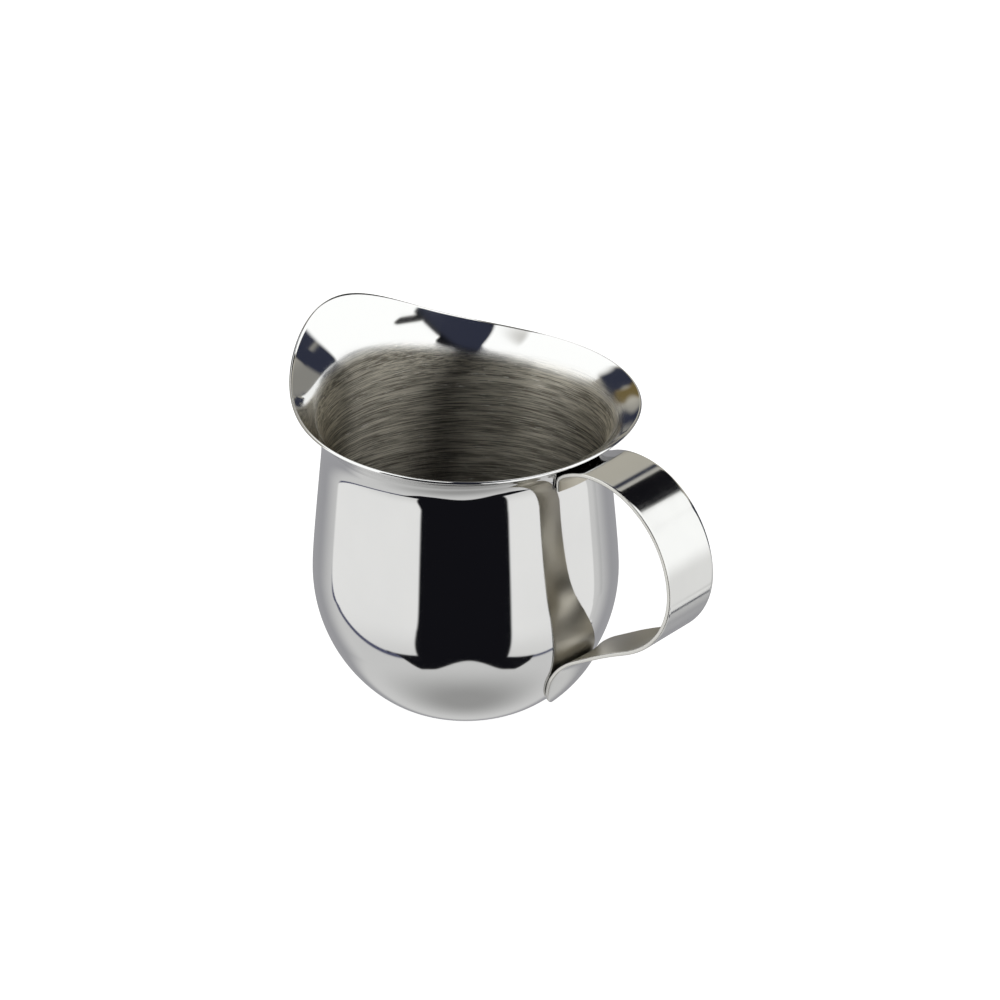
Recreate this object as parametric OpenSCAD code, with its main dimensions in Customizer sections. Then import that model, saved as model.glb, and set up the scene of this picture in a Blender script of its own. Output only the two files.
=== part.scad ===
// Silver cream jug: a one-piece drawn bowl with a flared, spouted rim and one bent strap handle.
// Origin: centre of the flat base. +Z is up, +X points to the handle, the spout points to -X.

/* [Bowl] */
// Radius of the flat base the jug stands on
base_r = 11; // [9:0.5:11]
// Length of the base's roll outward before the wall turns up
base_roll = 6.4; // [5:0.1:6.4]
// Largest outside radius of the belly
belly_r = 30.45; // [30:0.05:30.45]
// Height of the widest part of the belly
belly_z = 28.2; // [28.2:0.1:29]
// Roundness of the bowl below the belly
belly_low = 17; // [15:0.5:17]
// Outside radius at the neck, under the flare
neck_r = 28.4; // [28.2:0.05:28.4]
// Height where the wall of the bowl passes into the flare
neck_z = 52.4; // [52:0.1:52.8]
// Length of the nearly straight wall below the neck
neck_run = 16; // [14:0.5:16]
// Draft of that wall, radius lost for each millimetre of height
neck_draft = 0.1; // [0.1:0.01:0.12]
// Sheet thickness of the bowl
bowl_wall = 0.6; // [0.5:0.05:0.7]

/* [Rim and spout] */
// Radius of the rim on the handle side
rim_back_r = 32.7; // [32.5:0.1:32.8]
// Height of the rim on the handle side
rim_back_z = 61.15; // [61.1:0.05:61.6]
// Radius of the rim at the tip of the spout
spout_r = 34.1; // [32.5:0.1:36]
// Extra radius of the rim at the two sides
rim_side = 2.65; // [2:0.05:4]
// How far that extra radius leans toward the handle
rim_skew = 2.2; // [0:0.1:2.4]
// Even rise of the rim from the handle to the spout
rim_slope = 5.15; // [2:0.05:6]
// Extra rise of the spout above that slope
spout_rise = 10.5; // [6:0.1:14]
// How narrow the spout is (higher is narrower)
spout_power = 8.7; // [4:0.1:10]
// Lean of the lip above the horizontal on the handle side
lip_back_angle = 27; // [24:1:30]
// Lean of the lip above the horizontal at the spout
lip_spout_angle = 54; // [45:1:70]
// Share of the flare's rise over which the wall runs on upward, on the handle side
wall_share_back = 0.88; // [0.86:0.01:0.9]
// The same share at the spout
wall_share_spout = 0.34; // [0.3:0.01:0.5]
// Length of the lip's straight run on the handle side, as a share of the flare's span
lip_share_back = 0.26; // [0.24:0.01:0.28]
// The same share at the spout
lip_share_spout = 0.42; // [0.3:0.01:0.45]
// How soon the wall and the lip take on the spout's shares (higher is later)
flare_blend = 0.75; // [0.7:0.05:1]

/* [Handle strap] */
// Width of the strap
strap_w = 14.2; // [13:0.1:15]
// Thickness of the strap
strap_t = 0.8; // [0.7:0.05:0.85]
// Length over which the lower tab narrows to its tip
tongue_length = 10.6; // [9:0.1:12]
// How late the tongue starts to narrow (higher is later)
tongue_power = 1.5; // [1.2:0.1:2.5]
// How blunt the tongue is (higher is blunter)
tongue_bluntness = 1.4; // [1.2:0.1:2.2]

/* [Spot welds] */
// Diameter of each weld nugget
weld_d = 2; // [1.6:0.1:2.2]
// Distance of each weld of a pair from the middle of the strap
weld_side = 2.4; // [2:0.1:2.8]
// How deep a nugget reaches into each sheet
weld_sink = 0.3; // [0.2:0.05:0.4]

/* [Smoothness] */
// Facets round the flare
flare_facets = 96; // [72:4:120]
// Rings between the neck and the rim
flare_rings = 14; // [8:1:16]
// Steps along each stretch of the bowl's wall
wall_steps = 22; // [12:1:30]

/* [Hidden] */
steel = [0.80, 0.80, 0.79];
strap_steel = [0.76, 0.76, 0.74];
weld_steel = [0.55, 0.55, 0.56];
round_fn = 96;
join_depth = 0.4;
join_inset = 0.05;

// The strap's middle line, followed from the neck over the top and down to the tongue.
// The start is [x, z, heading]. Each stretch is [length, turn]; a turn below 0 is clockwise.
strap_start = [28.92, 54.9, 92.4];
strap_stretches = [
    [1.3, 0],
    [3.4, -68.7],
    [4.8, -22.5],
    [11.75, -38.1],
    [17.9, -47.8],
    [17.15, -63.7],
    [3.7, -9.9],
    [12.45, 9.1],
    [8.35, 33.8],
    [7.4, -12.8],
    [3, -5.2]
];
arc_steps = 8;

// The strap is hollowed across to fit the round bowl at its two ends.
// At the top it flattens out between these two turns away from the start's heading.
cup_turn_full = 20;
cup_turn_flat = 75;
// At the bottom it flattens out between these two lengths up from the tip.
cup_length_full = 13.4;
cup_length_flat = 22.4;
// Columns of facets across half the strap, and half the width of the tongue's blunt tip
half_columns = 5;
tip_half = 0.5;

// Height of the upper pair of welds, steps up from the tip of the lower pair,
// and the gap between strap and bowl that each pair bridges
weld_upper_z = 55.7;
weld_lower_steps = 13;
weld_upper_gap = 0.25;
weld_lower_gap = 0.25;

// Point at t on the cubic curve with four control points
function cubic(c, t) = c[0] * pow(1 - t, 3) + c[1] * 3 * t * pow(1 - t, 2)
    + c[2] * 3 * t * t * (1 - t) + c[3] * pow(t, 3);

function cubic_slope(c, t) = (c[1] - c[0]) * 3 * pow(1 - t, 2)
    + (c[2] - c[1]) * 6 * t * (1 - t) + (c[3] - c[2]) * 3 * t * t;

// Outside wall from the edge of the base to the belly, as [radius, height] control points
lower_wall = [
    [base_r, 0],
    [base_r + base_roll, 0],
    [belly_r, belly_z - belly_low],
    [belly_r, belly_z]
];

// Outside wall from the belly to the neck; its first handle keeps the curvature even
neck_foot_r = neck_r + neck_draft * neck_run;
belly_high = belly_low * sqrt((belly_r - neck_foot_r) / (belly_r - base_r - base_roll));
upper_wall = [
    [belly_r, belly_z],
    [belly_r, belly_z + belly_high],
    [neck_foot_r, neck_z - neck_run],
    [neck_r, neck_z]
];

bowl_outside = concat(
    [for (i = [0:wall_steps]) cubic(lower_wall, i / wall_steps)],
    [for (i = [1:wall_steps]) cubic(upper_wall, i / wall_steps)]
);

// Unit normal of a line of points at point i, turned to the left of travel
function side_normal(pts, i) = let (
    a = pts[max(i - 1, 0)],
    b = pts[min(i + 1, len(pts) - 1)],
    d = (b - a) / norm(b - a)
) [-d[1], d[0]];

bowl_inside = [
    for (i = [0:len(bowl_outside) - 1])
        let (p = bowl_outside[i] + bowl_wall * side_normal(bowl_outside, i))
        [p[0], i == len(bowl_outside) - 1 ? neck_z : max(p[1], bowl_wall)]
];

// Value a share of the way from a to b
function blend(a, b, share) = a + (b - a) * share;

// 0 at the handle, 1 at the spout
function spoutward(a) = (1 - cos(a)) / 2;

function rim_r(a) = rim_back_r + (spout_r - rim_back_r) * spoutward(a)
    + (rim_side + rim_skew * cos(a)) * pow(sin(a), 2);

function rim_z(a) = rim_back_z + rim_slope * spoutward(a)
    + spout_rise * pow(spoutward(a), spout_power);

function lip_angle(a) = blend(lip_back_angle, lip_spout_angle, spoutward(a));

// The flare's outside section at angle a is a cubic curve from the neck to the rim
function flare_controls(a) = let (
    rise = rim_z(a) - neck_z,
    spout = pow(spoutward(a), flare_blend),
    up = blend(wall_share_back, wall_share_spout, spout) * rise,
    back = blend(lip_share_back, lip_share_spout, spout) * norm([rim_r(a) - neck_r, rise])
) [
    [neck_r, neck_z],
    [neck_r - neck_draft * up, neck_z + up],
    [rim_r(a) - back * cos(lip_angle(a)), rim_z(a) - back * sin(lip_angle(a))],
    [rim_r(a), rim_z(a)]
];

// Section point [radius, height] of the flare; side 0 is outside, side 1 is inside
function flare_point(a, t, side) = let (
    c = flare_controls(a),
    d = cubic_slope(c, t),
    n = [-d[1], d[0]] / norm(d)
) cubic(c, t) + side * bowl_wall * n;

// Ring below the neck that keys the flare into the bowl's wall
function key_point(side) = [
    neck_r + neck_draft * join_depth + (side == 0 ? -join_inset : join_inset - bowl_wall),
    neck_z - join_depth
];

function around(p, a) = [p[0] * cos(a), p[0] * sin(a), p[1]];

ring_count = flare_rings + 1;

function flare_section(a) = concat(
    [key_point(0)],
    [for (j = [1:flare_rings]) flare_point(a, j / flare_rings, 0)],
    [for (j = [flare_rings:-1:1]) flare_point(a, j / flare_rings, 1)],
    [key_point(1)]
);

section_size = 2 * ring_count;

flare_points = [
    for (i = [0:flare_facets - 1])
        let (a = 360 * i / flare_facets, s = flare_section(a))
        for (p = s) around(p, a)
];

function flare_index(i, j) = (i % flare_facets) * section_size + j % section_size;

flare_faces = [
    for (i = [0:flare_facets - 1], j = [0:section_size - 1])
        for (k = [0, 1])
            k == 0
                ? [flare_index(i, j), flare_index(i, j + 1), flare_index(i + 1, j + 1)]
                : [flare_index(i, j), flare_index(i + 1, j + 1), flare_index(i + 1, j)]
];

// Stations [x, z, heading, travel] along one stretch s that starts at station p
function stretch_stations(p, s) = [
    for (k = [1:arc_steps])
        let (
            run = s[0] * k / arc_steps,
            h = p[2] + s[1] * k / arc_steps,
            r = s[1] == 0 ? 0 : s[0] * 180 / PI / s[1],
            dx = s[1] == 0 ? run * cos(h) : r * (sin(h) - sin(p[2])),
            dz = s[1] == 0 ? run * sin(h) : -r * (cos(h) - cos(p[2]))
        ) [p[0] + dx, p[1] + dz, h, p[3] + run]
];

function strap_walk(p, i) = i == len(strap_stretches) ? [] : let (
    s = stretch_stations(p, strap_stretches[i])
) concat(s, strap_walk(s[arc_steps - 1], i + 1));

strap_line = let (p = concat(strap_start, [0])) concat([p], strap_walk(p, 0));
strap_end = strap_line[len(strap_line) - 1];

function ease(t) = let (c = min(max(t, 0), 1)) c * c * (3 - 2 * c);

// 1 where the strap is fully hollowed to the bowl's roundness, 0 where it is flat
function cup_share(p) = let (
    turned = strap_start[2] - p[2],
    left = strap_end[3] - p[3]
) max(
    1 - ease((turned - cup_turn_full) / (cup_turn_flat - cup_turn_full)),
    1 - ease((left - cup_length_full) / (cup_length_flat - cup_length_full))
);

// Half the strap's width at station p
function half_width(p) = let (
    t = 1 - min((strap_end[3] - p[3]) / tongue_length, 1)
) max(strap_w / 2 * pow(1 - pow(t, tongue_power), 1 / tongue_bluntness), tip_half);

// Distance that the hollowed strap lies back toward the bowl's axis at the distance y across
function set_back(p, y) = cup_share(p) * (p[0] - sqrt(p[0] * p[0] - y * y));

// Point of the strap at station p, y across and d out through its thickness
function strap_point(p, y, d) = [
    p[0] - d * sin(p[2]) - set_back(p, y),
    y,
    p[1] + d * cos(p[2])
];

columns = 2 * half_columns;
ring_size = 2 * (columns + 1);

function strap_ring(p) = let (w = half_width(p)) concat(
    [for (j = [0:columns]) strap_point(p, w * (j / half_columns - 1), strap_t / 2)],
    [for (j = [0:columns]) strap_point(p, w * (1 - j / half_columns), -strap_t / 2)]
);

strap_points = [for (p = strap_line) for (q = strap_ring(p)) q];

// The two triangles of the face with corners a, b, c and d
function two_triangles(a, b, c, d) = [[a, b, c], [a, c, d]];

function strap_index(i, j) = i * ring_size + j % ring_size;

strap_faces = concat(
    [
        for (i = [0:len(strap_line) - 2], j = [0:ring_size - 1])
            for (f = two_triangles(
                strap_index(i, j), strap_index(i, j + 1),
                strap_index(i + 1, j + 1), strap_index(i + 1, j)
            )) f
    ],
    [
        for (j = [0:columns - 1])
            for (f = two_triangles(j, ring_size - 1 - j, ring_size - 2 - j, j + 1)) f
    ],
    [
        for (j = [0:columns - 1])
            let (i = len(strap_line) - 1)
            for (f = two_triangles(
                strap_index(i, j), strap_index(i, j + 1),
                strap_index(i, ring_size - 2 - j), strap_index(i, ring_size - 1 - j)
            )) f
    ]
);

// Station at height z on the straight stretch that runs through station p
function straight_at(p, z) = [p[0] + (z - p[1]) * cos(p[2]) / sin(p[2]), z, p[2], p[3]];

// A pair of welds on the face of the strap at p; side 1 is the upper tab, -1 the lower one
module weld_pair(p, side, gap) {
    for (across = [-1, 1])
        translate(strap_point(p, across * weld_side, side * strap_t / 2))
            rotate([0, -p[2] + 90 - side * 90, 0])
                translate([0, 0, -weld_sink])
                    cylinder(h = 2 * weld_sink + gap, d = weld_d, $fn = round_fn);
}

module upper_nuggets() {
    weld_pair(straight_at(strap_line[0], weld_upper_z), 1, weld_upper_gap);
}

module lower_nuggets() {
    weld_pair(strap_line[len(strap_line) - 1 - weld_lower_steps], -1, weld_lower_gap);
}

module bowl() {
    color(steel)
        difference() {
            union() {
                rotate_extrude($fn = round_fn)
                    polygon(concat(
                        [[0, 0]],
                        bowl_outside,
                        [for (i = [len(bowl_inside) - 1:-1:0]) bowl_inside[i]],
                        [[0, bowl_wall]]
                    ));
                polyhedron(flare_points, flare_faces, convexity = 10);
            }
            upper_nuggets();
            lower_nuggets();
        }
}

module handle() {
    color(strap_steel)
        difference() {
            polyhedron(strap_points, strap_faces, convexity = 10);
            upper_nuggets();
            lower_nuggets();
        }
}

module weld_upper() {
    color(weld_steel)
        upper_nuggets();
}

module weld_lower() {
    color(weld_steel)
        lower_nuggets();
}

bowl();
handle();
weld_upper();
weld_lower();
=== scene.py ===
import math

import bmesh
import bpy
import numpy as np
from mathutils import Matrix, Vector


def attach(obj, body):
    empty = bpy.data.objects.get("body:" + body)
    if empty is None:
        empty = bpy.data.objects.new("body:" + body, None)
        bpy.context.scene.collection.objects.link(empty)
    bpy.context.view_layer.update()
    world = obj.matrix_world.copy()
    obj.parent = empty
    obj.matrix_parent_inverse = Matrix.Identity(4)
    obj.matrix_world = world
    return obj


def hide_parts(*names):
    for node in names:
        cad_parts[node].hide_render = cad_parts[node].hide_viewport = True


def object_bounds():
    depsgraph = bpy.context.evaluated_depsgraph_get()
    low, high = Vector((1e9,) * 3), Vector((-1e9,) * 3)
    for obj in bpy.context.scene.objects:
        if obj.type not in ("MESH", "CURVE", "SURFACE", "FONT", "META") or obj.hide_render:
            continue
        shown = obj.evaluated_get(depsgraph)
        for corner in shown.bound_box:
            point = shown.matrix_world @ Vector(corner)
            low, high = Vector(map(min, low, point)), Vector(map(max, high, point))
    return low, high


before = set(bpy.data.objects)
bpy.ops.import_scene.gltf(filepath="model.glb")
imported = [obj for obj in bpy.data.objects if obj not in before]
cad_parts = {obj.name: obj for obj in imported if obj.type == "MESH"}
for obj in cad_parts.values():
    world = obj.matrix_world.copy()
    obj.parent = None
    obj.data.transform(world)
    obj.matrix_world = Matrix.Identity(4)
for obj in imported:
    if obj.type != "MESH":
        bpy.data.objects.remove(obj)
cad_low, cad_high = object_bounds()

MM = 0.001

# Bowl, in millimetres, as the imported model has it
BASE_R = 11.0
BASE_ROLL = 6.4
BELLY_R = 30.45
BELLY_Z = 28.2
BELLY_LOW = 17.0
NECK_R = 28.4
NECK_Z = 52.4
NECK_RUN = 16.0
NECK_DRAFT = 0.1
BOWL_WALL = 0.6

# Rim and spout, in millimetres, degrees and shares
RIM_BACK_R = 32.7
RIM_BACK_Z = 61.15
SPOUT_R = 34.1
RIM_SIDE = 2.65
RIM_SKEW = 2.2
RIM_SLOPE = 5.15
SPOUT_RISE = 10.5
SPOUT_POWER = 8.7
LIP_BACK_ANGLE = 27.0
LIP_SPOUT_ANGLE = 54.0
WALL_SHARE_BACK = 0.88
WALL_SHARE_SPOUT = 0.34
LIP_SHARE_BACK = 0.26
LIP_SHARE_SPOUT = 0.42
FLARE_BLEND = 0.75

# Strap, in millimetres and degrees: start [x, z, heading], then [length, turn] for each stretch
STRAP_W = 14.2
STRAP_T = 0.8
STRAP_START = (28.92, 54.9, 92.4)
STRAP_STRETCHES = (
    (1.3, 0), (3.4, -68.7), (4.8, -22.5), (11.75, -38.1), (17.9, -47.8), (17.15, -63.7),
    (3.7, -9.9), (12.45, 9.1), (8.35, 33.8), (7.4, -12.8), (3, -5.2),
)
# Rounded tongue at the strap's lower end: length, the two powers of its outline, half its tip
TONGUE_LENGTH = 10.6
TONGUE_POWER = 1.5
TONGUE_BLUNTNESS = 1.4
TIP_HALF = 0.5
# The strap is hollowed to the bowl's roundness near both ends and flat between them: degrees turned
# from its start, and length short of its tip, up to which it is fully hollow and from which flat
CUP_TURN_FULL = 20.0
CUP_TURN_FLAT = 75.0
CUP_LENGTH_FULL = 13.4
CUP_LENGTH_FLAT = 22.4

# Satin inside the cup: height of its upper edge on the handle side, how much higher the edge lies
# at the spout and how sharply it climbs there, and half the height over which it fades
SATIN_EDGE_Z = 59.8
SATIN_EDGE_RISE = 6.0
SATIN_EDGE_POWER = 6
SATIN_SOFT = 1.7

# Fineness of the meshes: counts, then millimetres, shares and degrees
COLUMNS = 320
BASE_RINGS = 6
LOW_RINGS = 48
LOW_CROWDING = 1.15
HIGH_RINGS = 30
FLARE_RINGS = 40
RIM_RINGS = 5
RIM_BULGE = 0.12
STRETCH_STEPS = 16
STRAP_ACROSS = 24
STRAP_EDGE = 0.16
STRAP_EDGE_SHARE = 0.4
STRAP_EDGE_TURNS = (30, 60)
SHARP_ANGLE = 50.0

# Range that most values of a noise texture keep to
NOISE_LOW = 0.3
NOISE_HIGH = 0.7

# Polished sheet. Marks are counted per radian round the jug and per metre up it, clouds and waves
# per metre; depths are in metres
POLISH_AROUND = 1.5
POLISH_UP = 5200.0
POLISH_CLOUDS = 60.0
POLISH_CLOUD_SHARE = 0.6
POLISH_MARK_STRENGTH = 0.02
POLISH_MARK_DEPTH = 0.00002
POLISH_WAVES = 45.0
POLISH_WAVE_DEPTH = 0.001

# Spun satin: marks per radian round the cup and per metre across it, and the share of broad ones
SATIN_BROAD = (1.6, 1300.0)
SATIN_FINE = (5.0, 5200.0)
SATIN_SCRATCH = (8.0, 4200.0)
SATIN_BROAD_SHARE = 0.4
# Its colours: the spun grain's tone with painted shade in a mark's hollow and painted highlight on
# its crest, a painted glint on a scratch, and near-black painted shade deep in the cup
SATIN_HOLLOW_GRAIN_AND_SHADE_COLOR = (0.25, 0.23, 0.19)
SATIN_CREST_GRAIN_AND_HIGHLIGHT_COLOR = (0.80, 0.755, 0.65)
SATIN_SCRATCH_GLINT_COLOR = (1.0, 0.97, 0.90)
SATIN_DEPTH_SHADE_COLOR = (0.02, 0.02, 0.02)
FLARE_COLOR = (0.86, 0.86, 0.855)
# Noise values over which the crest and the scratch colours come in; then the heights in metres
# over which the satin colour comes in above the painted shade deep in the cup, and its share at
# either height
SATIN_COLOR_RAMP = (0.39, 0.61)
SATIN_SCRATCH_GLINT_RAMP = (0.62, 0.72)
SATIN_DEPTH_SHADE_RAMP = (0.018, 0.046, 0.22, 1.0)
# Roughness of the polished flare, what the satin adds to it, and the satin's relief
FLARE_ROUGHNESS = 0.05
SATIN_ROUGH_LOW = 0.45
SATIN_ROUGH_HIGH = 0.53
SATIN_MARK_STRENGTH = 0.35
SATIN_MARK_DEPTH = 0.00006

# Brushing along the strip: marks per metre in x, y and z, clouds per metre, and their relief
BRUSH_SCALE = (160.0, 6000.0, 160.0)
BRUSH_CLOUDS = 90.0
BRUSH_STRENGTH = 0.12
BRUSH_DEPTH = 0.00003

# Weld nuggets: clouds per metre, colours, roughness and relief
WELD_CLOUDS = 900.0
WELD_DARK = (0.33, 0.32, 0.33)
WELD_LIGHT = (0.55, 0.53, 0.50)
WELD_ROUGH_LOW = 0.35
WELD_ROUGH_HIGH = 0.6
WELD_STRENGTH = 0.4
WELD_DEPTH = 0.0001

# Studio colours
BLACK = (0.006, 0.006, 0.008)
NAVY = (0.030, 0.034, 0.055)
WHITE = (1.15, 1.16, 1.15)
PANEL_WHITE = (0.84, 0.84, 0.83)
PANEL_GREY = (0.70, 0.70, 0.69)
PANEL_RIM = (0.07, 0.075, 0.13)
BROWN = (0.16, 0.12, 0.05)
BEIGE = (0.47, 0.45, 0.39)
ROOM_LOW = (0.34, 0.34, 0.355)
ROOM_MIDDLE = (0.25, 0.245, 0.225)
ROOM_HIGH = (0.50, 0.49, 0.46)
SKY_BEHIND = (0.03, 0.03, 0.03)
OVERHEAD = (0.12, 0.12, 0.12)
FLOOR_DARK = (0.33, 0.33, 0.325)
FLOOR_PALE = (0.62, 0.62, 0.615)

# Studio places, all in degrees. Turn is measured to the right of the camera, side is its size, and
# rise is measured above the horizon. A soft edge is its place and half the width over which it
# changes.

# The room from below upwards: each edge and the colour above it
ROOM_BANDS = (
    ((-8.0, 5.0), ROOM_MIDDLE),
    ((18.0, 7.0), BEIGE),
    ((41.0, 3.0), ROOM_HIGH),
)
SKY_BEHIND_SIDE = (122.0, 5.0)
SKY_BEHIND_FOOT = (50.0, 4.0)
OVERHEAD_FOOT = (76.0, 4.0)
# The floor is dark straight below, reaches up under the panels and lies lower behind the jug
FLOOR_DARK_TOP = (-68.0, 16.0)
FLOOR_FRONT_TOP = (-12.0, 6.0)
FLOOR_FRONT_SIDE = (128.0, 16.0)
FLOOR_BACK_TOP = (-45.0, 5.0)

# Patches of the room: low and high turn, low and high rise, softness, colour
ROOM_PATCHES = (
    (106.5, 121, 15.5, 24, 1.0, NAVY),
    (112.5, 121, 11, 17, 1.0, NAVY),
    (107, 121, -14, 13, 2.0, NAVY),
    (139, 162, -10, 3, 2.0, NAVY),
    (117, 147, 31, 62, 0.7, BLACK),
    (152, 157, 34, 62, 1.5, NAVY),
    (113, 119, -33, -24, 1.5, NAVY),
    (118, 123, -25, -17, 1.5, NAVY),
    (-150, -133, 17, 43, 2.0, NAVY),
    (-156, -145, 19, 30, 2.0, BROWN),
    (-168, -156, 3, 14, 2.5, NAVY),
    (-150, -128, 44, 78, 3.0, WHITE),
)
# The foot of the right panel where it comes round beside the jug
PANEL_FOOT_PATCHES = (
    (98, 112, -34, -26, 0.7, PANEL_WHITE),
    (106, 118, -39.5, -33, 0.7, PANEL_WHITE),
    (106, 120.5, -41.5, -39.6, 0.4, NAVY),
    (118, 120.5, -41.5, -34, 0.4, NAVY),
)

# Two tall panels with a dark gap between them. The lower edge of each is straight in the room: the
# turn that the panel faces, and how far below the jug the edge lies there, as a share of its
# distance
LEFT_FOOT = (-50.0, 1.035)
RIGHT_FOOT = (50.0, 1.08)
# Turn of each upright edge: its place, then its steps as the rise goes (from, to, change)
GAP_LEFT = (-34.0, (-11.0, 0.0, -16.0), (40.0, 51.0, 60.0), (-15.0, -46.0, -8.5))
GAP_RIGHT = (33.5, (-11.0, 0.0, -9.5), (18.0, 30.0, 24.0), (-15.0, -46.0, 4.0))
LEFT_SIDE = (-118.0, (-12.0, -6.0, 20.0), (34.0, 41.0, -33.0))
RIGHT_SIDE = (116.5, (-36.0, -33.0, -5.5), (-12.0, 0.0, -3.5), (24.0, 28.0, 9.5))
GAP_SOFT = 1.2
LEFT_SIDE_SOFT = 1.5
RIGHT_SIDE_SOFT = 1.0
# Rise of the left panel's top: its place, then its step as the turn goes (from, to, change)
LEFT_TOP = (78.0, (-60.0, -30.0, -12.0))
LEFT_TOP_SOFT = 3.0
RIGHT_TOP = (72.0, 1.0)
FOOT_SOFT = 0.8
# Height of the dark rim along each foot, and softness of its lower edge
LEFT_RIM = 3.2
RIGHT_RIM = 2.0
RIM_SOFT = 1.0
# Rises over which the panels grow from grey to pale, and from pale to white
PANEL_PALER = (-48.0, -25.0)
PANEL_WHITER = (-13.0, 2.0)

# Dark slanting spike in the right panel: turn of its sides at the rise where it starts to lean, how
# far it leans for each degree of rise, and the edges that cut it off
SPIKE_RISE = 34.0
SPIKE_LEAN = 0.75
SPIKE_LEFT = 69.0
SPIKE_RIGHT = 75.0
SPIKE_SOFT = 1.0
SPIKE_END = (81.0, 1.0)
SPIKE_FOOT = (21.0, 1.0)

# Black below the panels and in the gap. Its foot drops and rises again away from the middle turn
DARK_MIDDLE = 3.0
DARK_FOOT = (-49.0, (0.0, 38.0, -8.0), (48.0, 70.0, 12.0))
DARK_LEFT = (-72.0, 1.0)
DARK_RIGHT = (63.0, 1.0)
GAP_TOP = (73.0, 3.0)
# Dark front of the ceiling: it starts softly at the gap's left edge, and its top drops to the right
CEILING_LEFT_SOFT = 4.0
CEILING_RIGHT = (78.0, 1.0)
CEILING_FOOT = (34.0, 1.0)
CEILING_TOP = (73.0, (26.0, 78.0, -31.0))
CEILING_TOP_SOFT = 2.0
# Rises between which the dark is navy, not black
NAVY_FOOT = (37.0, 3.0)
NAVY_TOP = (63.0, 3.0)

# Floor and backdrop, in metres; the floor lies just below the jug
FLOOR_RADIUS = 2.4
FLOOR_SIDES = 96
FLOOR_DROP = 0.0001
FLOOR_COLOR = (0.45, 0.45, 0.45)
FLOOR_GLOW = 0.90
DOME_RADIUS = 2.3
DOME_SEGMENTS = 48
DOME_RINGS = 24

# Camera, in degrees, millimetres of lens and sensor, and metres
CAMERA_AZIMUTH = 38.0
CAMERA_ELEVATION = 25.0
CAMERA_DISTANCE = 0.8778
CAMERA_LENS = 160.7
CAMERA_SENSOR = 36
CAMERA_NEAR = 0.01
CAMERA_FAR = 10
AIM_RIGHT = -0.00147
AIM_UP = 0.00626


def cubic(c, t):
    """Points at t (an array) on the cubic curve with four control points."""
    c = np.asarray(c, float)
    t = np.asarray(t, float)[:, None]
    ends = c[0] * (1 - t) ** 3 + c[3] * t ** 3
    return ends + 3 * c[1] * t * (1 - t) ** 2 + 3 * c[2] * t * t * (1 - t)


def cubic_slope(c, t):
    """Direction and speed of the same curve at t."""
    c = np.asarray(c, float)
    t = np.asarray(t, float)[:, None]
    ends = 3 * (c[1] - c[0]) * (1 - t) ** 2 + 3 * (c[3] - c[2]) * t * t
    return ends + 6 * (c[2] - c[1]) * t * (1 - t)


def left_normals(d):
    """Unit normals to the left of the directions d."""
    return np.stack([-d[:, 1], d[:, 0]], -1) / np.linalg.norm(d, axis=1)[:, None]


def wall_curves():
    """Control points [radius, height] of the wall's outside: base to belly, and belly to neck."""
    foot_r = NECK_R + NECK_DRAFT * NECK_RUN
    high = BELLY_LOW * math.sqrt((BELLY_R - foot_r) / (BELLY_R - BASE_R - BASE_ROLL))
    belly = (BELLY_R, BELLY_Z)
    lower = ((BASE_R, 0), (BASE_R + BASE_ROLL, 0), (BELLY_R, BELLY_Z - BELLY_LOW), belly)
    upper = (belly, (BELLY_R, BELLY_Z + high), (foot_r, NECK_Z - NECK_RUN), (NECK_R, NECK_Z))
    return lower, upper


def between(low, high, share):
    return low + (high - low) * share


def flare_curve(angle):
    """Control points [radius, height] of the flare's outside, at radians from the handle."""
    s = (1 - math.cos(angle)) / 2
    sides = (RIM_SIDE + RIM_SKEW * math.cos(angle)) * math.sin(angle) ** 2
    rim_r = between(RIM_BACK_R, SPOUT_R, s) + sides
    rim_z = RIM_BACK_Z + RIM_SLOPE * s + SPOUT_RISE * s ** SPOUT_POWER
    lip = math.radians(between(LIP_BACK_ANGLE, LIP_SPOUT_ANGLE, s))
    rise = rim_z - NECK_Z
    spout = s ** FLARE_BLEND
    up = between(WALL_SHARE_BACK, WALL_SHARE_SPOUT, spout) * rise
    back = between(LIP_SHARE_BACK, LIP_SHARE_SPOUT, spout) * math.hypot(rim_r - NECK_R, rise)
    return (
        (NECK_R, NECK_Z), (NECK_R - NECK_DRAFT * up, NECK_Z + up),
        (rim_r - back * math.cos(lip), rim_z - back * math.sin(lip)), (rim_r, rim_z),
    )


def half_round(a, b, bulge, steps):
    """Points that round the edge from a to b, bulging to the right of the way between them."""
    mid = (a + b) / 2
    half = (b - a) / 2
    out = np.array([half[1], -half[0]]) / np.linalg.norm(half) * bulge
    turn = np.linspace(0, math.pi, steps + 2)[1:-1]
    return np.array([mid - half * math.cos(k) + out * math.sin(k) for k in turn])


def bowl_section(angle):
    """The bowl's section at an angle, from under the base over the rim to the floor of the cup.

    Also returned is how many of its points lie before the rim.
    """
    lower, upper = wall_curves()
    curves = (
        (lower, np.linspace(0, 1, LOW_RINGS + 1) ** LOW_CROWDING),
        (upper, np.linspace(0, 1, HIGH_RINGS + 1)[1:]),
        (flare_curve(angle), np.linspace(0, 1, FLARE_RINGS + 1)[1:]),
    )
    outside = np.vstack([cubic(c, t) for c, t in curves])
    slope = np.vstack([cubic_slope(c, t) for c, t in curves])
    inside = outside + BOWL_WALL * left_normals(slope)
    tangent = slope[-1] / np.linalg.norm(slope[-1]) * RIM_BULGE
    outside[-1] -= tangent
    inside[-1] -= tangent
    base = np.linspace(0, BASE_R, BASE_RINGS + 1)[1:-1]
    rim = half_round(outside[-1], inside[-1], RIM_BULGE, RIM_RINGS)
    under = np.stack([base, np.zeros_like(base)], -1)
    over = np.stack([base[::-1], np.full_like(base, BOWL_WALL)], -1)
    return np.vstack([under, outside, rim, inside[::-1], over]), len(under) + len(outside)


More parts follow.
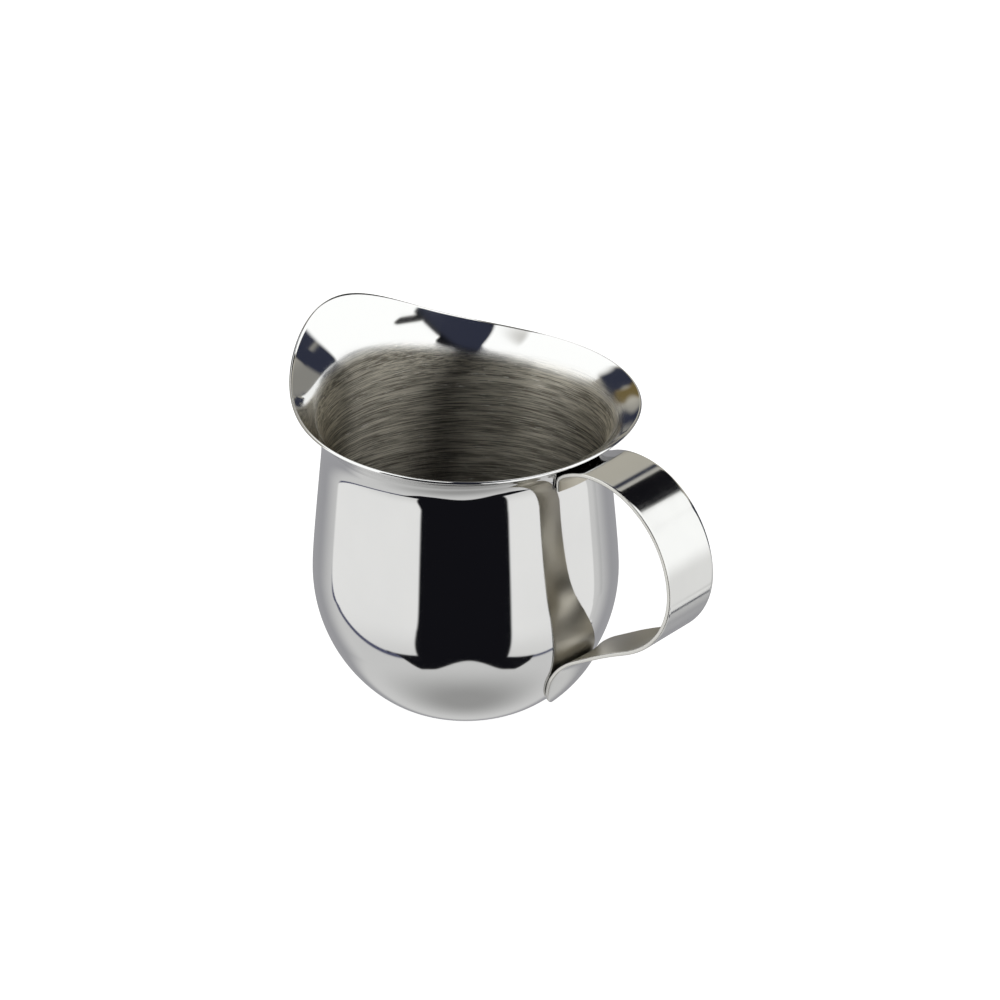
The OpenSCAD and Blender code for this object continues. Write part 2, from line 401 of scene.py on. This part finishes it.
def make_object(name, vertices, faces, slots):
    """A smooth-shaded mesh object with its material slots."""
    mesh = bpy.data.meshes.new(name)
    mesh.from_pydata([tuple(v) for v in vertices], [], faces)
    mesh.validate()
    obj = bpy.data.objects.new(name, mesh)
    bpy.context.scene.collection.objects.link(obj)
    for material in slots:
        mesh.materials.append(material)
    mesh.polygons.foreach_set("use_smooth", [True] * len(mesh.polygons))
    return obj


def smooth(v, low, high):
    """0 up to low, 1 from high on, and a smooth step between."""
    t = np.clip((np.asarray(v, float) - low) / (high - low), 0, 1)
    return t * t * (3 - 2 * t)


def make_bowl(outside, inside):
    """The bowl as one closed sheet, with its satin share stored at every point."""
    angles = np.arange(COLUMNS) * 2 * math.pi / COLUMNS
    rows = []
    for a in angles:
        section, out_count = bowl_section(a)
        r, z = section[:, 0], section[:, 1]
        rows.append(np.stack([r * math.cos(a), r * math.sin(a), z], -1))
    rows = np.array(rows)
    size = rows.shape[1]
    vertices = np.vstack([rows.reshape(-1, 3), [[0, 0, 0], [0, 0, BOWL_WALL]]]) * MM
    under, over = COLUMNS * size, COLUMNS * size + 1
    faces = []
    slots = []
    for i in range(COLUMNS):
        here, there = i * size, (i + 1) % COLUMNS * size
        faces.append((under, there, here))
        slots.append(0)
        for j in range(size - 1):
            faces.append((here + j, there + j, there + j + 1, here + j + 1))
            slots.append(0 if j < out_count + RIM_RINGS // 2 else 1)
        faces.append((here + size - 1, there + size - 1, over))
        slots.append(1)
    obj = make_object("bowl_sheet", vertices, faces, (outside, inside))
    obj.data.polygons.foreach_set("material_index", slots)
    # 1 in the satin cup, 0 on the polished flare; then the middles of the base, under and over
    spoutward = (1 - np.cos(angles)) / 2
    edge = (SATIN_EDGE_Z + SATIN_EDGE_RISE * spoutward ** SATIN_EDGE_POWER)[:, None]
    satin = 1 - smooth(rows[:, :, 2], edge - SATIN_SOFT, edge + SATIN_SOFT)
    attribute = obj.data.attributes.new("satin", "FLOAT", "POINT")
    values = np.append(satin.reshape(-1), [0, 1])
    attribute.data.foreach_set("value", np.asarray(values, np.float32))
    return obj


def strap_path():
    """Stations [x, z, heading in degrees, travel] along the strap's middle."""
    path = [STRAP_START + (0.0,)]
    for length, turn in STRAP_STRETCHES:
        x, z, h, travel = path[-1]
        start = math.radians(h)
        for k in range(1, STRETCH_STEPS + 1):
            run = length * k / STRETCH_STEPS
            end = start + math.radians(turn) * k / STRETCH_STEPS
            if turn == 0:
                dx = run * math.cos(start)
                dz = run * math.sin(start)
            else:
                r = length / math.radians(turn)
                dx = r * (math.sin(end) - math.sin(start))
                dz = r * (math.cos(start) - math.cos(end))
            path.append((x + dx, z + dz, math.degrees(end), travel + run))
    return np.array(path)


def cup_share(turned, left):
    """1 where the strap is hollowed to the bowl's roundness, 0 where it is flat across."""
    top = 1 - smooth(turned, CUP_TURN_FULL, CUP_TURN_FLAT)
    tab = 1 - smooth(left, CUP_LENGTH_FULL, CUP_LENGTH_FLAT)
    return max(top, tab)


def half_width(left):
    """Half the strap's width at a length short of the tongue's tip."""
    t = 1 - min(left / TONGUE_LENGTH, 1)
    return max(STRAP_W / 2 * (1 - t ** TONGUE_POWER) ** (1 / TONGUE_BLUNTNESS), TIP_HALF)


def strap_ring(half):
    """Points [across, through, kind] round the strap's section, for half its width.

    The kind is 0 on the outer face, 1 on an edge and 2 on the inner face.
    """
    t = STRAP_T / 2
    e = min(STRAP_EDGE, half * STRAP_EDGE_SHARE)
    turns = [math.radians(k) for k in STRAP_EDGE_TURNS]
    corner = [(half - e + e * math.sin(a), t - e + e * math.cos(a)) for a in turns]
    corner.append((half, t - e))
    edge = corner + [(y, -through) for y, through in reversed(corner)]
    side = [(y, t, 0) for y in np.linspace(e - half, half - e, STRAP_ACROSS)]
    side += [(y, through, 1) for y, through in edge]
    return side + [(-y, -through, 1 if kind == 1 else 2) for y, through, kind in side]


def make_strap(outer, inner, edge):
    """The handle strap as one closed strip, with a material for each face and one for the edges."""
    path = strap_path()
    vertices = []
    for x, z, h, travel in path:
        left = path[-1, 3] - travel
        ring = strap_ring(half_width(left))
        nx, nz = -math.sin(math.radians(h)), math.cos(math.radians(h))
        cup = cup_share(path[0, 2] - h, left)
        for y, through, _ in ring:
            set_back = cup * (x - math.sqrt(x * x - y * y))
            vertices.append((x + nx * through - set_back, y, z + nz * through))
    kinds = [kind for _, _, kind in ring]
    size = len(kinds)
    last = (len(path) - 1) * size
    faces = []
    slots = []
    for i in range(len(path) - 1):
        for j in range(size):
            k = (j + 1) % size
            faces.append((i * size + j, (i + 1) * size + j, (i + 1) * size + k, i * size + k))
            pair = {kinds[j], kinds[k]}
            slots.append(0 if pair == {0} else 1 if pair == {2} else 2)
    faces.append(tuple(range(size)))
    faces.append(tuple(last + j for j in reversed(range(size))))
    slots += [2, 2]
    obj = make_object("handle_strap", np.array(vertices) * MM, faces, (outer, inner, edge))
    obj.data.polygons.foreach_set("material_index", slots)
    obj.data.set_sharp_from_angle(angle=math.radians(SHARP_ANGLE))
    return obj


class Graph:
    """Short calls for building a node tree."""

    def __init__(self, tree):
        self.tree = tree
        tree.nodes.clear()

    def node(self, kind, **settings):
        n = self.tree.nodes.new(kind)
        for key, value in settings.items():
            setattr(n, key, value)
        return n

    def put(self, socket, value):
        if isinstance(value, bpy.types.NodeSocket):
            self.tree.links.new(value, socket)
        elif value is not None:
            socket.default_value = value

    def math(self, operation, a, b=None, c=None):
        """One Math node; each operand is a socket or a number."""
        n = self.node("ShaderNodeMath", operation=operation)
        for socket, value in zip(n.inputs, (a, b, c)):
            self.put(socket, value)
        return n.outputs[0]

    def ramp(self, value, low, high, to_low=0.0, to_high=1.0):
        """Smooth step from to_low to to_high as the value goes from low to high."""
        n = self.node("ShaderNodeMapRange", interpolation_type="SMOOTHSTEP")
        keys = ("Value", "From Min", "From Max", "To Min", "To Max")
        for key, v in zip(keys, (value, low, high, to_low, to_high)):
            self.put(n.inputs[key], v)
        return n.outputs["Result"]

    def mix(self, factor, a, b):
        n = self.node("ShaderNodeMix", data_type="RGBA")
        self.put(n.inputs["Factor"], factor)
        self.put(n.inputs[6], a)
        self.put(n.inputs[7], b)
        return n.outputs[2]

    def noise(self, vector, scale, detail, roughness):
        n = self.node("ShaderNodeTexNoise")
        self.put(n.inputs["Vector"], vector)
        self.put(n.inputs["Scale"], scale)
        self.put(n.inputs["Detail"], detail)
        self.put(n.inputs["Roughness"], roughness)
        return n.outputs["Fac"]

    def stretched(self, values, scales):
        """Vector of three values, each multiplied by its scale."""
        n = self.node("ShaderNodeCombineXYZ")
        for socket, value, scale in zip(n.inputs, values, scales):
            self.put(socket, self.math("MULTIPLY", value, scale))
        return n.outputs[0]

    def bump(self, height, strength, distance, normal=None):
        """Normal for a relief this deep, in metres, on top of an earlier normal."""
        n = self.node("ShaderNodeBump")
        self.put(n.inputs["Height"], height)
        self.put(n.inputs["Strength"], strength)
        self.put(n.inputs["Distance"], distance)
        self.put(n.inputs["Normal"], normal)
        return n.outputs[0]

    def object_xyz(self):
        """The object's own coordinates in metres: the vector, then x, y and z."""
        place = self.node("ShaderNodeTexCoord").outputs["Object"]
        parts = self.node("ShaderNodeSeparateXYZ")
        self.put(parts.inputs[0], place)
        return place, parts.outputs[0], parts.outputs[1], parts.outputs[2]


def rgba(color):
    return (*color, 1.0)


def new_material(name):
    material = bpy.data.materials.new(name)
    material.use_nodes = True
    return material, Graph(material.node_tree)


def metal_output(g, color, roughness, normal, **constants):
    """Metal shader joined to the material's output; the constants go straight on its sockets."""
    shader = g.node("ShaderNodeBsdfPrincipled")
    shader.inputs["Metallic"].default_value = 1.0
    g.put(shader.inputs["Base Color"], color)
    g.put(shader.inputs["Roughness"], roughness)
    g.put(shader.inputs["Normal"], normal)
    for key, value in constants.items():
        shader.inputs[key].default_value = value
    out = g.node("ShaderNodeOutputMaterial")
    g.put(out.inputs["Surface"], shader.outputs[0])
    return shader


def polished_steel(name, light, dark, rough_low, rough_high, wave):
    """Mirror-polished sheet: faint clouds, hairline polishing marks and a slight waviness."""
    material, g = new_material(name)
    place, x, y, z = g.object_xyz()
    angle = g.math("ARCTAN2", y, x)
    hairline = g.noise(g.stretched((angle, z, 0.0), (POLISH_AROUND, POLISH_UP, 0.0)),
                       scale=1.0, detail=4.0, roughness=0.6)
    cloud = g.noise(place, POLISH_CLOUDS, detail=3.0, roughness=0.55)
    color = g.mix(cloud, rgba(light), rgba(dark))
    tone = g.math("ADD", g.math("MULTIPLY", cloud, POLISH_CLOUD_SHARE),
                  g.math("MULTIPLY", hairline, 1 - POLISH_CLOUD_SHARE))
    rough = g.ramp(tone, NOISE_LOW, NOISE_HIGH, rough_low, rough_high)
    swell = g.noise(place, POLISH_WAVES, detail=1.0, roughness=0.4)
    waves = g.bump(swell, wave, POLISH_WAVE_DEPTH)
    marks = g.bump(hairline, POLISH_MARK_STRENGTH, POLISH_MARK_DEPTH, waves)
    metal_output(g, color, rough, marks)
    return material


def cup_inside():
    """Spun satin inside the cup, passing into the polished flare."""
    material, g = new_material("cup_inside_steel")
    _, x, y, z = g.object_xyz()
    satin = g.node("ShaderNodeAttribute", attribute_name="satin").outputs["Fac"]
    # The angle's size, not the angle itself, keeps the rings whole where it wraps at the spout
    angle = g.math("ABSOLUTE", g.math("ARCTAN2", y, x))
    radius = g.math("SQRT", g.math("ADD", g.math("MULTIPLY", x, x), g.math("MULTIPLY", y, y)))

    def rings(around, across):
        """Noise drawn out round the axis, in rings on the wall and on the floor of the cup."""
        return g.noise(g.stretched((angle, z, radius), (around, across, across)),
                       scale=1.0, detail=3.0, roughness=0.6)

    broad = g.math("MULTIPLY", rings(*SATIN_BROAD), SATIN_BROAD_SHARE)
    fine = g.math("MULTIPLY", rings(*SATIN_FINE), 1 - SATIN_BROAD_SHARE)
    marks = g.math("ADD", broad, fine)
    # The rings' tone: the spun grain's own tone, with painted shade in the hollows and painted
    # highlight on the crests
    satin_tone_and_painted_light = g.mix(g.ramp(marks, *SATIN_COLOR_RAMP),
                        rgba(SATIN_HOLLOW_GRAIN_AND_SHADE_COLOR), rgba(SATIN_CREST_GRAIN_AND_HIGHLIGHT_COLOR))
    # Scratches drawn as painted glints
    scratch_glint = g.ramp(rings(*SATIN_SCRATCH), *SATIN_SCRATCH_GLINT_RAMP)
    satin_tone_and_painted_light = g.mix(scratch_glint, satin_tone_and_painted_light, rgba(SATIN_SCRATCH_GLINT_COLOR))
    # Painted shade: the satin's colour darkens to near black towards the bottom of the cup
    satin_tone_and_painted_light = g.mix(g.ramp(z, *SATIN_DEPTH_SHADE_RAMP), rgba(SATIN_DEPTH_SHADE_COLOR), satin_tone_and_painted_light)
    color = g.mix(satin, rgba(FLARE_COLOR), satin_tone_and_painted_light)
    satin_rough = g.ramp(marks, NOISE_LOW, NOISE_HIGH, SATIN_ROUGH_LOW, SATIN_ROUGH_HIGH)
    rough = g.math("ADD", g.math("MULTIPLY", satin, satin_rough), FLARE_ROUGHNESS)
    normal = g.bump(g.math("MULTIPLY", marks, satin), SATIN_MARK_STRENGTH, SATIN_MARK_DEPTH)
    shader = metal_output(g, color, rough, normal,
                          **{"Anisotropic": 1.0, "Anisotropic Rotation": 0.25})
    tangent = g.node("ShaderNodeTangent", direction_type="RADIAL", axis="Z")
    g.put(shader.inputs["Tangent"], tangent.outputs[0])
    return material


def brushed_edge(name, light, dark, rough_low, rough_high):
    """A cut sheet edge, or the strap's inner face: short brushing marks along the strip."""
    material, g = new_material(name)
    place, x, y, z = g.object_xyz()
    grain = g.noise(g.stretched((x, y, z), BRUSH_SCALE), scale=1.0, detail=4.0, roughness=0.6)
    cloud = g.noise(place, BRUSH_CLOUDS, detail=3.0, roughness=0.5)
    tone = g.math("MULTIPLY", g.math("ADD", grain, cloud), 0.5)
    color = g.mix(tone, rgba(dark), rgba(light))
    rough = g.ramp(grain, NOISE_LOW, NOISE_HIGH, rough_low, rough_high)
    metal_output(g, color, rough, g.bump(grain, BRUSH_STRENGTH, BRUSH_DEPTH))
    return material


def weld_metal():
    """Dull, slightly heat-tinted weld nugget."""
    material, g = new_material("weld_nugget_steel")
    place = g.object_xyz()[0]
    cloud = g.noise(place, WELD_CLOUDS, detail=4.0, roughness=0.6)
    color = g.mix(cloud, rgba(WELD_DARK), rgba(WELD_LIGHT))
    rough = g.ramp(cloud, NOISE_LOW, NOISE_HIGH, WELD_ROUGH_LOW, WELD_ROUGH_HIGH)
    metal_output(g, color, rough, g.bump(cloud, WELD_STRENGTH, WELD_DEPTH))
    return material


class Studio(Graph):
    """The world's node tree, where every place is a direction: its turn, side and rise."""

    def __init__(self, tree, camera_azimuth):
        super().__init__(tree)
        parts = self.node("ShaderNodeSeparateXYZ")
        self.put(parts.inputs[0], self.node("ShaderNodeTexCoord").outputs["Generated"])
        x, y, z = parts.outputs
        azimuth = self.math("DEGREES", self.math("ARCTAN2", y, x))
        from_camera = self.math("SUBTRACT", azimuth, camera_azimuth)
        self.turn = self.math("WRAP", from_camera, 180.0, -180.0)
        self.side = self.math("ABSOLUTE", self.turn)
        self.rise = self.math("DEGREES", self.math("ARCSINE", z))

    def above(self, value, edge, soft):
        """1 where the value lies above the edge, 0 where it lies below."""
        return self.ramp(self.math("SUBTRACT", value, edge), -soft, soft)

    def below(self, value, edge, soft):
        """1 where the value lies below the edge, 0 where it lies above."""
        return self.ramp(self.math("SUBTRACT", value, edge), -soft, soft, 1.0, 0.0)

    def joined(self, operation, shares):
        total = shares[0]
        for share in shares[1:]:
            total = self.math(operation, total, share)
        return total

    def every(self, *shares):
        """1 where all of the shares are 1."""
        return self.joined("MULTIPLY", shares)

    def some(self, *shares):
        """1 where at least one of the shares is 1."""
        return self.joined("MAXIMUM", shares)

    def stepped(self, value, start, *steps):
        """A start, then its steps (from, to, change), made as the value goes between the two."""
        total = start
        for first, last, change in steps:
            total = self.math("ADD", total, self.ramp(value, first, last, 0.0, change))
        return total

    def straight_edge(self, facing, drop):
        """Rise of a panel's straight lower edge, seen in perspective."""
        swing = self.math("RADIANS", self.math("SUBTRACT", self.turn, facing))
        fall = self.math("MULTIPLY", self.math("COSINE", swing), -drop)
        return self.math("DEGREES", self.math("ARCTANGENT", fall))

    def patched(self, color, patches):
        for turn_low, turn_high, rise_low, rise_high, soft, tone in patches:
            share = self.every(self.above(self.turn, turn_low, soft),
                               self.below(self.turn, turn_high, soft),
                               self.above(self.rise, rise_low, soft),
                               self.below(self.rise, rise_high, soft))
            color = self.mix(share, color, rgba(tone))
        return color


def room_color(s):
    """Walls by height, the dark sky behind, the dim overhead, the patches and the floor."""
    color = rgba(ROOM_LOW)
    for edge, tone in ROOM_BANDS:
        color = s.mix(s.above(s.rise, *edge), color, rgba(tone))
    behind = s.every(s.above(s.side, *SKY_BEHIND_SIDE), s.above(s.rise, *SKY_BEHIND_FOOT))
    color = s.mix(behind, color, rgba(SKY_BEHIND))
    color = s.mix(s.above(s.rise, *OVERHEAD_FOOT), color, rgba(OVERHEAD))
    color = s.patched(color, ROOM_PATCHES)
    floor = s.mix(s.above(s.rise, *FLOOR_DARK_TOP), rgba(FLOOR_DARK), rgba(FLOOR_PALE))
    front = s.every(s.below(s.rise, *FLOOR_FRONT_TOP), s.below(s.side, *FLOOR_FRONT_SIDE))
    return s.mix(s.some(front, s.below(s.rise, *FLOOR_BACK_TOP)), color, floor)


def studio_color(s):
    """The room with its two tall panels, the dark gap between them and the dark round them."""
    left_foot = s.straight_edge(*LEFT_FOOT)
    right_foot = s.straight_edge(*RIGHT_FOOT)
    gap_left = s.stepped(s.rise, *GAP_LEFT)
    gap_right = s.stepped(s.rise, *GAP_RIGHT)

    left = s.every(s.above(s.turn, s.stepped(s.rise, *LEFT_SIDE), LEFT_SIDE_SOFT),
                   s.below(s.turn, gap_left, GAP_SOFT))
    right = s.every(s.above(s.turn, gap_right, GAP_SOFT),
                    s.below(s.turn, s.stepped(s.rise, *RIGHT_SIDE), RIGHT_SIDE_SOFT))

    def rim(reach, foot, height):
        """Dark rim along the foot of a panel."""
        return s.every(reach, s.above(s.rise, s.math("SUBTRACT", foot, height), RIM_SOFT),
                       s.below(s.rise, foot, FOOT_SOFT))

    color = s.mix(s.some(rim(left, left_foot, LEFT_RIM), rim(right, right_foot, RIGHT_RIM)),
                  room_color(s), rgba(PANEL_RIM))

    lean = s.math("MULTIPLY", s.math("SUBTRACT", SPIKE_RISE, s.rise), SPIKE_LEAN)
    spike = s.every(s.above(s.turn, s.math("ADD", lean, SPIKE_LEFT), SPIKE_SOFT),
                    s.below(s.turn, s.math("ADD", lean, SPIKE_RIGHT), SPIKE_SOFT),
                    s.below(s.turn, *SPIKE_END), s.above(s.rise, *SPIKE_FOOT))

    left_panel = s.every(left, s.above(s.rise, left_foot, FOOT_SOFT),
                         s.below(s.rise, s.stepped(s.turn, *LEFT_TOP), LEFT_TOP_SOFT))
    right_panel = s.every(right, s.above(s.rise, right_foot, FOOT_SOFT),
                          s.below(s.rise, *RIGHT_TOP), s.math("SUBTRACT", 1.0, spike))
    tone = s.mix(s.ramp(s.rise, *PANEL_PALER), rgba(PANEL_GREY), rgba(PANEL_WHITE))
    tone = s.mix(s.ramp(s.rise, *PANEL_WHITER), tone, rgba(WHITE))
    color = s.mix(s.some(left_panel, right_panel), color, tone)
    color = s.patched(color, PANEL_FOOT_PATCHES)

    off_middle = s.math("ABSOLUTE", s.math("SUBTRACT", s.turn, DARK_MIDDLE))
    dark_foot = s.stepped(off_middle, *DARK_FOOT)
    under_panels = s.every(s.above(s.turn, *DARK_LEFT), s.below(s.turn, *DARK_RIGHT),
                           s.above(s.rise, dark_foot, FOOT_SOFT),
                           s.below(s.rise, s.math("MINIMUM", left_foot, right_foot), FOOT_SOFT))
    gap = s.every(s.above(s.turn, gap_left, GAP_SOFT), s.below(s.turn, gap_right, GAP_SOFT),
                  s.above(s.rise, dark_foot, FOOT_SOFT), s.below(s.rise, *GAP_TOP))
    ceiling = s.every(s.above(s.turn, gap_left, CEILING_LEFT_SOFT),
                      s.below(s.turn, *CEILING_RIGHT), s.above(s.rise, *CEILING_FOOT),
                      s.below(s.rise, s.stepped(s.turn, *CEILING_TOP), CEILING_TOP_SOFT))
    dark = s.mix(s.every(s.above(s.rise, *NAVY_FOOT), s.below(s.rise, *NAVY_TOP)),
                 rgba(BLACK), rgba(NAVY))
    return s.mix(s.some(under_panels, gap, ceiling, spike), color, dark)


def build_world(camera_azimuth):
    """The studio as the world's colour by direction: the scene's light and its reflections."""
    world = bpy.data.worlds.new("studio")
    world.use_nodes = True
    bpy.context.scene.world = world
    s = Studio(world.node_tree, camera_azimuth)
    shade = s.node("ShaderNodeBackground")
    s.put(shade.inputs["Color"], studio_color(s))
    shade.inputs["Strength"].default_value = 1.0
    out = s.node("ShaderNodeOutputWorld")
    s.put(out.inputs["Surface"], shade.outputs[0])


def stage_object(name, form, material):
    """An object of the stage from a bmesh, which is used up."""
    mesh = bpy.data.meshes.new(name)
    form.to_mesh(mesh)
    form.free()
    mesh.materials.append(material)
    obj = bpy.data.objects.new(name, mesh)
    bpy.context.scene.collection.objects.link(obj)
    return obj


def add_floor():
    """A wide pale floor, seen by the camera and lit by the studio."""
    material, g = new_material("pale_floor")
    shader = g.node("ShaderNodeBsdfDiffuse")
    shader.inputs["Color"].default_value = rgba(FLOOR_COLOR)
    glow = g.node("ShaderNodeEmission")
    glow.inputs["Color"].default_value = (1.0, 1.0, 1.0, 1.0)
    glow.inputs["Strength"].default_value = FLOOR_GLOW
    total = g.node("ShaderNodeAddShader")
    g.put(total.inputs[0], shader.outputs[0])
    g.put(total.inputs[1], glow.outputs[0])
    out = g.node("ShaderNodeOutputMaterial")
    g.put(out.inputs["Surface"], total.outputs[0])
    form = bmesh.new()
    bmesh.ops.create_circle(form, cap_ends=True, segments=FLOOR_SIDES, radius=FLOOR_RADIUS)
    floor = stage_object("floor", form, material)
    floor.location.z = cad_low[2] - FLOOR_DROP
    floor.visible_glossy = False


def add_backdrop():
    """A white dome far behind everything, which only the camera sees."""
    material, g = new_material("white_backdrop")
    glow = g.node("ShaderNodeEmission")
    glow.inputs["Strength"].default_value = 1.0
    out = g.node("ShaderNodeOutputMaterial")
    g.put(out.inputs["Surface"], glow.outputs[0])
    form = bmesh.new()
    bmesh.ops.create_uvsphere(form, u_segments=DOME_SEGMENTS, v_segments=DOME_RINGS,
                              radius=DOME_RADIUS)
    dome = stage_object("backdrop", form, material)
    dome.visible_diffuse = False
    dome.visible_glossy = False
    dome.visible_shadow = False


def add_camera():
    """The photograph's camera; returned is the direction it stands in, in degrees from +X."""
    azimuth = math.radians(CAMERA_AZIMUTH)
    elevation = math.radians(CAMERA_ELEVATION)
    out = math.cos(elevation)
    back = Vector((math.sin(azimuth) * out, -math.cos(azimuth) * out, math.sin(elevation)))
    right = Vector((math.cos(azimuth), math.sin(azimuth), 0))
    middle = (Vector(cad_low) + Vector(cad_high)) / 2
    aim = middle + right * AIM_RIGHT + back.cross(right) * AIM_UP
    data = bpy.data.cameras.new("camera")
    data.lens = CAMERA_LENS
    data.sensor_width = CAMERA_SENSOR
    data.clip_start = CAMERA_NEAR
    data.clip_end = CAMERA_FAR
    camera = bpy.data.objects.new("camera", data)
    camera.location = aim + back * CAMERA_DISTANCE
    camera.rotation_euler = back.to_track_quat("Z", "Y").to_euler()
    bpy.context.scene.collection.objects.link(camera)
    bpy.context.scene.camera = camera
    return math.degrees(math.atan2(back.y, back.x))


outside = polished_steel("bowl_polished_steel", light=(0.90, 0.90, 0.895),
                         dark=(0.82, 0.82, 0.82), rough_low=0.03, rough_high=0.07, wave=0.02)
inside = cup_inside()
strap_outer = polished_steel("strap_polished_steel", light=(0.86, 0.86, 0.85),
                             dark=(0.76, 0.76, 0.75), rough_low=0.06, rough_high=0.12, wave=0.03)
# The strap's inner face: a duller brushed finish, made darker and warmer than the outer face as
# painted shade where it faces the bowl
strap_inner_shaded = brushed_edge("strap_inner_shaded_steel", light=(0.70, 0.66, 0.57), dark=(0.52, 0.49, 0.42),
                           rough_low=0.32, rough_high=0.42)
strap_edge = brushed_edge("strap_edge_steel", light=(0.85, 0.84, 0.80), dark=(0.70, 0.69, 0.66),
                          rough_low=0.18, rough_high=0.30)

bowl = make_bowl(outside, inside)
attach(bowl, "root")
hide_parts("bowl")

strap = make_strap(strap_outer, strap_inner_shaded, strap_edge)
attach(strap, "root")
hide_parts("handle")

weld = weld_metal()
for name in ("weld_upper", "weld_lower"):
    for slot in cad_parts[name].material_slots:
        slot.material = weld

add_floor()
add_backdrop()
build_world(add_camera())
bpy.context.scene.view_settings.view_transform = "Standard"
